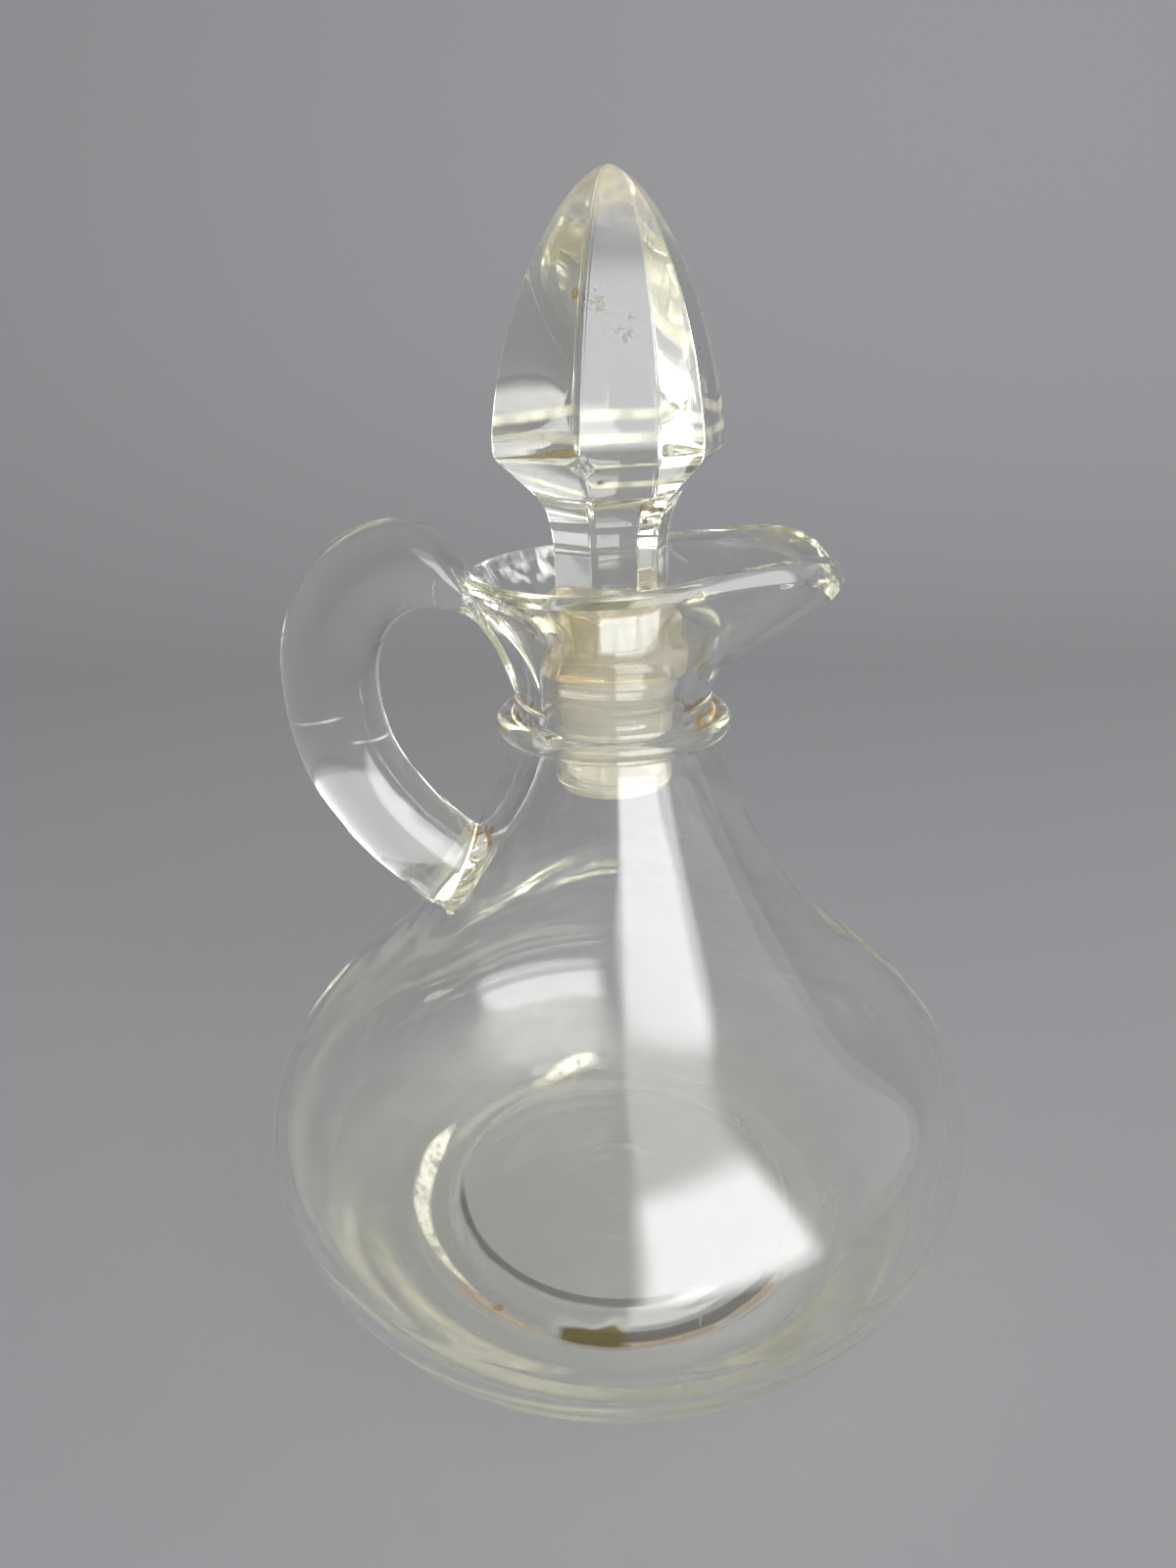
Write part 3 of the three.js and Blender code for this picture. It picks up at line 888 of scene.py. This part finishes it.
    def absorb(self, colour, density):
        volume = self.tree.nodes.new("ShaderNodeVolumeAbsorption")
        volume.inputs["Color"].default_value = colour
        volume.inputs["Density"].default_value = density
        self.tree.links.new(volume.outputs[0], self.output.inputs["Volume"])


CLEAR = (0.993, 0.992, 0.988, 1)
GLASS_IOR = 1.5
GLASS_TINT = (0.88, 0.865, 0.55, 1)
GLASS_DENSITY = 6.5
OLIVE_POOL = (0.09, 0.063, 0.004, 1)
TAN = (0.62, 0.47, 0.32, 1)
# Colour of painted shade in the floor's groove and along the disc's front edge
PAINTED_SHADE = (0.13, 0.12, 0.105, 1)
# Colour of a pale oil film on the groove's wall painted bright as a highlight, and of a painted highlight
# along the disc's back edge
PALE_FILM_AND_HIGHLIGHT = (0.93, 0.91, 0.76, 1)
BROWN = (0.42, 0.27, 0.10, 1)
YELLOWED = (0.86, 0.81, 0.52, 1)
FOOT_EDGE = (0.78, 0.78, 0.60, 1)
CREASE = (0.93, 0.93, 0.90, 1)
DUST = (0.9, 0.9, 0.86, 1)


def groove_front(s, at):
    """Dried oil at the front of the groove round the floor: a pool, a thin line and a drop; and a band of
    dark painted shade in the groove.
    """
    wobble = s.times(s.math("SUBTRACT", at.blotch, 0.5), 3.4 * MM)
    ragged = s.math("ADD", at.radius, wobble)
    pool_side = s.math("ABSOLUTE", s.math("ADD", s.math("ADD", at.x, 4.2 * MM), s.times(wobble, 1.6)))
    pool = s.times(
        s.band(ragged, 26.0, 27.9, 29.9, 30.8), s.span(pool_side, 7.0, 2.6), s.span(at.radius, 30, 29.5),
        s.range(at.grain, 0.3, 0.7, 0.72, 1.0),
    )
    line = s.times(s.band(at.radius, 28.6, 29.2, 29.6, 30.3), s.range(at.blotch, 0.3, 0.6), 0.42)
    front = s.times(at.low, s.span(at.y, -12, -20))
    # A band of dark painted shade in the groove
    dark = s.times(
        s.band(at.radius, 26.8, 27.7, 28.6, 29.2), s.span(at.y, -14, -24), s.span(at.x, -3, 2), 0.42,
    )
    drop = s.times(s.spot((-17.0, -23.2, 5.6), 0.3, 1.2), s.range(at.grain, 0.3, 0.5))
    return s.times(front, pool), s.times(front, line), dark, drop


def disc_edge(s, at):
    """Painted shade along the edge of the raised disc at the front, and a painted highlight along it at the
    back.
    """
    edge = s.times(s.band(at.radius, 23.9, 24.4, 24.7, 25.5), s.range(at.blotch, 0.25, 0.6, 0.5, 1.0))
    dark = s.times(edge, s.span(at.y, 4, -10), s.span(at.x, 14, 2), 0.32)
    pale = s.times(edge, s.span(at.y, -4, 8), s.span(at.x, 2, -8), 0.36)
    return dark, pale


def groove_wall(s, at):
    """A pale film of old oil on the groove's outer wall, round its left side and at the back, painted bright
    as a band of highlight.
    """
    turn = s.math("ARCTAN2", at.y, s.times(at.x, -1.0))
    left_off = s.apart(at.radius, s.swing(turn, -42, -8, 28.9 * MM, 30.7 * MM))
    left_width = s.times(s.swing(turn, -46, -6, 0.3, 1.5), s.swing(turn, 27, 10, 0.2, 1.0), MM)
    left = s.times(
        s.range(s.math("DIVIDE", left_off, left_width), 1.0, 0.45),
        s.swing(turn, -50, -40), s.swing(turn, 27, 19),
    )
    back_off = s.apart(at.radius, s.swing(turn, 58, 83, 28.8 * MM, 32.0 * MM))
    back = s.times(s.span(back_off, 1.5, 0.5), s.swing(turn, 54, 64), s.swing(turn, 86, 80), 0.75)
    link = s.times(s.span(back_off, 1.2, 0.2), s.swing(turn, 14, 26), s.swing(turn, 66, 56), 0.22)
    return s.most(left, back, link)


def brown_dirt(s, at):
    """Dirt in the corner over the collar ring, and where the handle's foot meets the shoulder."""
    ring_corner = s.times(
        s.band(at.z, 84.7, 85.2, 85.9, 87.2), s.span(at.radius, 12.3, 12.7), s.span(at.radius, 14.6, 13.6),
        s.span(s.math("ABSOLUTE", at.x), 8.5, 12.5), s.range(at.grain, 0.42, 0.62), 0.5,
    )
    by_handle = s.times(
        s.most(s.spot((-18.4, -1.2, 68.6), 0.4, 2.0), s.spot((-16.9, -5.2, 69.6), 0.2, 1.2)),
        s.range(at.grain, 0.35, 0.55), 0.85,
    )
    return s.most(ring_corner, by_handle)


def foot_edge(s, at):
    """The edge of the handle's foot on the shoulder, and its tail."""
    depth = s.dot(FOOT_CENTRE, FOOT_HEADING)
    reach = s.away(FOOT_CENTRE)
    aside = s.math("SQRT", s.math("SUBTRACT", s.times(reach, reach), s.times(depth, depth)))
    seam = s.times(
        s.band(depth, -1.9, -1.5, 0.0, 0.6), s.span(aside, 4.2, 5.2), s.span(aside, 8.2, 7.2),
        s.range(at.grain, 0.25, 0.6, 0.05, 0.22),
    )
    tail = s.most(s.spot((-20.8, -7.4, 62.0), 0.2, 1.2), s.spot((-22.0, -9.0, 59.8), 0.2, 1.2))
    return s.most(seam, s.times(tail, 0.6))


def creases(s, at):
    """Two short creases where the hot rod of the handle was gripped."""
    rise = s.times(s.math("ADD", at.x, 34 * MM), 0.2)
    upper = s.math("SUBTRACT", s.math("SUBTRACT", at.z, rise), 85.9 * MM)
    upper = s.times(s.band(upper, -0.3, -0.05, 0.05, 0.3), s.span(at.x, -33.5, -35.5))
    fall = s.times(s.math("ADD", at.x, 31.9 * MM), 0.12)
    lower = s.math("SUBTRACT", s.math("ADD", at.z, fall), 82.2 * MM)
    lower = s.times(s.band(lower, -0.3, -0.05, 0.05, 0.3), s.span(at.x, -33.6, -32.6))
    return s.times(
        s.most(upper, lower), s.span(at.y, 0, -1.5), s.span(at.x, -28, -29),
        s.range(at.grain, 0.3, 0.55, 0.3, 1.0), s.range(at.blotch, 0.34, 0.6, 0.25, 0.8),
    )


def mouth_streaks(s, at):
    """Pale streaks of dried oil inside the mouth, on the handle's side."""
    drips = s.noise(520.0, 1.0, place=s.stretched((1, 1, 0.12)))
    return s.times(
        s.range(drips, 0.5, 0.66), s.band(at.z, 98.5, 100.5, 104.5, 106.0), s.span(at.x, -5, -9),
        s.span(at.radius, 18.6, 17.6), 0.3,
    )


def hand_worked(s, at):
    """The unevenness of the glass: slow waves, more of them at the back, and marks drawn out upwards."""
    waves = s.bump(s.noise(26.0, 1.5, 0.4), 0.6, 0.4)
    back = s.times(s.span(at.y, -6, 8), s.span(at.z, 24, 36), s.span(at.z, 76, 66))
    close = s.noise(64.0, 1.0, 0.5, place=s.stretched((1, 1, 1.5)))
    waves = s.bump(s.times(close, back), 0.7, 1.1, waves)
    return s.bump(s.noise(120.0, 1.0, 0.5, place=s.stretched((1, 1, 0.22))), 0.3, 0.08, waves)


def bottle_finish():
    s = Surface("bottle_glass")
    x, y, z = s.axes()
    radius = s.math("SQRT", s.math("ADD", s.times(x, x), s.times(y, y)))
    grain = s.noise(420.0, 2.0)
    blotch = s.noise(130.0, 2.0)
    low = s.times(s.span(z, 4.2, 4.6), s.span(z, 8.2, 7.6))
    at = SimpleNamespace(x=x, y=y, z=z, radius=radius, grain=grain, blotch=blotch, low=low)
    # Old oil and dirt, with painted shade and painted highlights in and round the floor's groove
    pool, thin_line, groove_shade, drop = groove_front(s, at)
    disc_shade, disc_highlight = disc_edge(s, at)
    # Painted shade in the groove and along the disc's front edge
    painted_shade = s.times(low, s.most(groove_shade, disc_shade))
    # A pale oil film on the groove's wall painted bright as a highlight, and a painted highlight along the
    # disc's back edge
    pale_film_and_highlight = s.times(low, s.most(groove_wall(s, at), disc_highlight), s.range(grain, 0.28, 0.62, 0.15, 0.8))
    brown = s.most(s.times(drop, 0.6), brown_dirt(s, at))
    yellow_rim = s.times(s.spot((23.0, 9.0, 105.0), 1.0, 5.5), s.range(grain, 0.4, 0.65), 0.5)
    yellow_tip = s.times(s.spot((28.6, 0, 101.6), 0.4, 3.4), 0.2)
    yellowed = s.most(yellow_rim, yellow_tip)
    streaks = mouth_streaks(s, at)
    # Marks of making and of use
    edge = foot_edge(s, at)
    crease = creases(s, at)
    dust = s.times(s.range(s.cells(900.0), 0.10, 0.04), s.range(blotch, 0.44, 0.56), s.span(x, 0, 20), 0.35)
    heel_haze = s.times(s.span(z, 17, 7), s.span(radius, 31, 36), s.range(blotch, 0.3, 0.7, 0.10, 0.2))
    worn_foot = s.times(s.span(z, 1.6, 0.5), s.span(radius, 25.8, 26.6), 0.32)
    scratches = s.range(s.noise(900.0, 1.0, place=s.stretched((1, 1, 0.06))), 0.66, 0.78)
    rubbed = s.times(scratches, s.range(blotch, 0.45, 0.7), 0.22)
    base = s.layered(
        CLEAR,
        (s.firm(yellowed, 2.0), YELLOWED),
        # The next layer is pale oil film painted bright as a highlight, and the one after it is painted shade
        (s.firm(pale_film_and_highlight), PALE_FILM_AND_HIGHLIGHT),
        (s.firm(painted_shade), PAINTED_SHADE),
        (s.firm(thin_line), TAN),
        (s.firm(pool, 2.0), OLIVE_POOL),
        (s.times(s.firm(edge), 0.7), FOOT_EDGE),
        (s.firm(crease), CREASE),
        (s.firm(brown), BROWN),
        (s.most(dust, streaks), DUST),
    )
    dull = s.most(
        s.times(pool, 0.93), painted_shade, thin_line, s.times(brown, 0.75), s.times(pale_film_and_highlight, 0.75),
        s.times(dust, 0.8), s.times(yellowed, 0.15), s.times(edge, 0.5), s.times(crease, 0.4), streaks,
    )
    rough = s.most(rubbed, s.times(dull, 0.45), worn_foot, heel_haze)
    s.set(
        Base_Color=base,
        Transmission_Weight=s.math("SUBTRACT", 1.0, dull),
        IOR=GLASS_IOR,
        Roughness=s.math("ADD", rough, s.times(blotch, 0.06)),
        Normal=hand_worked(s, at),
    )
    s.let_lamps_through((0.90, 0.90, 0.885, 1))
    s.absorb(GLASS_TINT, GLASS_DENSITY)
    return s.material


OLD_TIP = (0.70, 0.62, 0.46, 1)
GIRDLE_LINE = (0.90, 0.86, 0.68, 1)
OLIVE = (0.40, 0.33, 0.15, 1)
GRIME = (0.16, 0.13, 0.08, 1)


def stopper_finish():
    s = Surface("stopper_glass")
    x, y, z = s.axes()
    grain = s.noise(520.0, 3.0)
    old_tip = s.times(s.span(z, 137, 147), s.range(grain, 0.15, 0.7), 0.6)
    girdle = s.times(s.band(z, 118.9, 119.4, 119.9, 120.5), s.range(s.noise(90.0), 0.3, 0.6), 0.8)
    # An olive spot, and an olive streak along the girdle on the facet left of the seam, thicker towards it
    olive = s.times(s.spot((-3.6, -9.2, 134.1), 0.1, 1.0), 0.5)
    streak_off = s.apart(z, s.math("ADD", s.times(x, 0.15), 118.9 * MM))
    streak_width = s.span(x, -12, -5, 0.12 * MM, 0.6 * MM)
    streak = s.times(
        s.range(s.math("DIVIDE", streak_off, streak_width), 1.0, 0.4), s.span(x, -3.4, -4.2),
        s.span(y, -2, -4), s.range(grain, 0.2, 0.5, 0.3, 0.7),
    )
    # Smudges and grime
    smudge = s.range(s.noise(1500.0, 2.0), 0.5, 0.64)
    specks = s.most(
        s.times(s.spot((-1.3, -9.9, 133.2), 0.2, 2.4), smudge, 0.6),
        s.times(s.spot((1.6, -10.4, 130.6), 0.2, 2.8), smudge, 0.35),
        s.times(s.spot((5.2, -6.3, 111.1), 0.5, 2.8), s.range(grain, 0.48, 0.6)),
        s.times(s.spot((-1.1, -12.0, 115.6), 0.2, 1.8), s.range(grain, 0.46, 0.6), 0.7),
    )
    dirt = s.times(s.range(s.noise(240.0, 2.0), 0.70, 0.78), 0.3)
    base = s.layered(
        CLEAR,
        (s.firm(old_tip, 2.0), OLD_TIP),
        (s.firm(girdle), GIRDLE_LINE),
        (s.firm(s.most(olive, streak), 3.0), OLIVE),
        (s.firm(s.most(specks, dirt)), GRIME),
    )
    dull = s.most(
        s.times(old_tip, 0.5), s.times(girdle, 0.5), s.times(specks, 0.85), s.times(dirt, 0.5), olive, streak,
    )
    s.set(
        Base_Color=base,
        Transmission_Weight=s.math("SUBTRACT", 1.0, dull),
        IOR=GLASS_IOR,
        Roughness=s.math("ADD", s.times(dull, 0.4), s.times(s.noise(60.0, 2.0), 0.06)),
        Normal=s.bump(s.noise(60.0, 1.5, 0.4), 0.6, 0.35),
    )
    s.let_lamps_through((0.92, 0.92, 0.90, 1))
    s.absorb(GLASS_TINT, GLASS_DENSITY)
    return s.material


PLASTIC_IOR = 1.5
PLASTIC_LIGHT = (0.90, 0.885, 0.84, 1)
PLASTIC_DARK = (0.84, 0.82, 0.755, 1)
AMBER = (0.84, 0.72, 0.46, 1)
CREAM = (0.83, 0.81, 0.73, 1)
# Colour of a painted highlight on the collar's front
FLAT_HIGHLIGHT = (0.90, 0.90, 0.87, 1)
PEPPER = (0.20, 0.13, 0.07, 1)


def sleeve_finish():
    s = Surface("sleeve_plastic")
    x, y, z = s.axes()
    bands = s.noise(1.0, 3.0, place=s.stretched((60, 60, 900)))
    blotch = s.noise(170.0, 3.0)
    amber = s.times(
        s.span(z, 90, 92.5), s.range(blotch, 0.2, 0.75, 0.55, 1.0),
        s.range(s.span(x, 3, -7), 0, 1, 0.35, 0.95),
    )
    cream = s.span(z, 80.5, 76.5)
    # A painted highlight on the collar in front of a flat of the stem, for the flat's reflection of the
    # window: the plastic there is pale and scatters the light
    strokes = s.noise(900.0, 1.0, place=s.stretched((1, 1, 0.2)))
    flat_highlight = s.times(
        s.span(x, -1.7, -1.2), s.span(x, 6.1, 5.5), s.span(y, -2, -4), s.band(z, 94.9, 95.6, 97.7, 98.3),
        s.range(strokes, 0.3, 0.65, 0.16, 0.28),
    )
    speck = s.times(s.range(s.cells(330.0), 0.10, 0.04), s.range(s.noise(80.0), 0.54, 0.62), 0.8)
    base = s.layered(
        PLASTIC_LIGHT,
        (bands, PLASTIC_DARK),
        (amber, AMBER),
        (cream, CREAM),
        # The next layer is a painted highlight on the collar's front
        (s.firm(flat_highlight), FLAT_HIGHLIGHT),
        (speck, PEPPER),
    )
    # Cloudy cream plastic low on the cup, and the painted highlight made less clear
    cloudy_and_highlight = s.math("ADD", s.times(cream, 0.06), flat_highlight)
    s.set(
        Base_Color=base,
        Transmission_Weight=s.math("SUBTRACT", s.range(bands, 0.2, 0.8, 0.97, 0.9), cloudy_and_highlight),
        IOR=PLASTIC_IOR,
        Roughness=s.range(bands, 0.2, 0.8, 0.03, 0.08),
        Normal=s.bump(bands, 0.35, 0.06, s.bump(blotch, 0.2, 0.08)),
    )
    s.let_lamps_through((0.80, 0.77, 0.72, 1))
    return s.material


for thing, finish in ((bottle, bottle_finish()), (stopper, stopper_finish()), (sleeve, sleeve_finish())):
    thing.data.materials.clear()
    thing.data.materials.append(finish)

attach(bottle, "bottle")
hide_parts("bottle", "handle")
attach(stopper, "stopper")
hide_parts("stopper")
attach(sleeve, "sleeve")
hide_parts("stopper_sleeve")


# Floor, backdrop and light
BACKDROP = (0.27, 0.27, 0.276, 1)
FLOOR_DROP = 0.0002
STAGE_FRONT = -1.6
STAGE_BACK = 0.8
STAGE_TOP = 1.6
STAGE_HALF_WIDTH = 2.4
STAGE_CURVE = 0.5
STAGE_CURVE_POINTS = 24


def make_stage():
    turns = np.linspace(0, math.pi / 2, STAGE_CURVE_POINTS)
    cove = STAGE_BACK - STAGE_CURVE
    line = [(STAGE_FRONT, 0.0)]
    line += [(cove + STAGE_CURVE * math.sin(a), STAGE_CURVE - STAGE_CURVE * math.cos(a)) for a in turns]
    line.append((STAGE_BACK, STAGE_TOP))
    sides = (-STAGE_HALF_WIDTH, STAGE_HALF_WIDTH)
    points = [(x / MM, y / MM, (z - FLOOR_DROP) / MM) for y, z in line for x in sides]
    faces = [(2 * i, 2 * i + 1, 2 * i + 3, 2 * i + 2) for i in range(len(line) - 1)]
    floor = mesh_object("floor", points, faces)
    floor.data.shade_smooth()
    s = Surface("floor")
    s.set(Base_Color=BACKDROP, Roughness=0.9, Specular_IOR_Level=0.2)
    floor.data.materials.append(s.material)


# The room is brighter on the window's side
ROOM_COLOUR = (0.97, 0.98, 1.0, 1)
ROOM_WAY = (0.86, 0.0, 0.50)
ROOM_TURN = 0.9
ROOM_DIM = 0.16
ROOM_BRIGHT = 0.72


def make_world():
    world = bpy.data.worlds.new("studio")
    bpy.context.scene.world = world
    world.use_nodes = True
    tree = world.node_tree
    way = tree.nodes.new("ShaderNodeTexCoord").outputs["Generated"]
    towards = tree.nodes.new("ShaderNodeVectorMath")
    towards.operation = "DOT_PRODUCT"
    tree.links.new(way, towards.inputs[0])
    towards.inputs[1].default_value = ROOM_WAY
    level = tree.nodes.new("ShaderNodeMapRange")
    level.inputs["From Min"].default_value = -ROOM_TURN
    level.inputs["From Max"].default_value = ROOM_TURN
    level.inputs["To Min"].default_value = ROOM_DIM
    level.inputs["To Max"].default_value = ROOM_BRIGHT
    tree.links.new(towards.outputs["Value"], level.inputs["Value"])
    background = tree.nodes["Background"]
    background.inputs["Color"].default_value = ROOM_COLOUR
    tree.links.new(level.outputs["Result"], background.inputs["Strength"])


def soften_lamp(data):
    """Fades the lamp towards its edges, and dims its upper half as a sky does over a bright horizon."""
    data.use_nodes = True
    tree = data.node_tree
    parts = tree.nodes.new("ShaderNodeSeparateXYZ")
    tree.links.new(tree.nodes.new("ShaderNodeNewGeometry").outputs["Parametric"], parts.inputs[0])

    def ramp(value, low, high, to_low=0.0, to_high=1.0):
        node = tree.nodes.new("ShaderNodeMapRange")
        node.interpolation_type = "SMOOTHSTEP"
        tree.links.new(value, node.inputs[0])
        for i, v in enumerate((low, high, to_low, to_high)):
            node.inputs[1 + i].default_value = v
        return node.outputs[0]

    across, up = parts.outputs[0], parts.outputs[1]
    made = ramp(up, 0.34, 0.5, 1.0, 0.27)
    for edge in (ramp(across, 0, 0.14), ramp(across, 1, 0.86), ramp(up, 0, 0.05), ramp(up, 1, 0.7)):
        node = tree.nodes.new("ShaderNodeMath")
        node.operation = "MULTIPLY"
        tree.links.new(made, node.inputs[0])
        tree.links.new(edge, node.inputs[1])
        made = node.outputs[0]
    tree.links.new(made, tree.nodes["Emission"].inputs["Strength"])


WINDOW_PLACE = (0.457, -0.775, 1.25)
WINDOW_TARGET = (0, 0, 1.25)
WINDOW_WIDTH = 1.0
WINDOW_HEIGHT = 2.5
WINDOW_WATTS = 56.0
WINDOW_COLOUR = (0.98, 0.99, 1.0)


def make_window():
    data = bpy.data.lights.new("window", "AREA")
    data.shape = "RECTANGLE"
    data.size = WINDOW_WIDTH
    data.size_y = WINDOW_HEIGHT
    data.energy = WINDOW_WATTS
    data.color = WINDOW_COLOUR
    soften_lamp(data)
    lamp = bpy.data.objects.new("window", data)
    lamp.location = WINDOW_PLACE
    facing = Vector(WINDOW_TARGET) - Vector(WINDOW_PLACE)
    lamp.rotation_euler = facing.to_track_quat("-Z", "Y").to_euler()
    bpy.context.scene.collection.objects.link(lamp)


make_stage()
make_world()
make_window()

bpy.context.scene.view_settings.view_transform = "Standard"
# Light crosses and turns back inside thick glass many times before it leaves
LIGHT_TURNS = 36
bpy.context.scene.cycles.max_bounces = LIGHT_TURNS
bpy.context.scene.cycles.glossy_bounces = LIGHT_TURNS
bpy.context.scene.cycles.transmission_bounces = LIGHT_TURNS
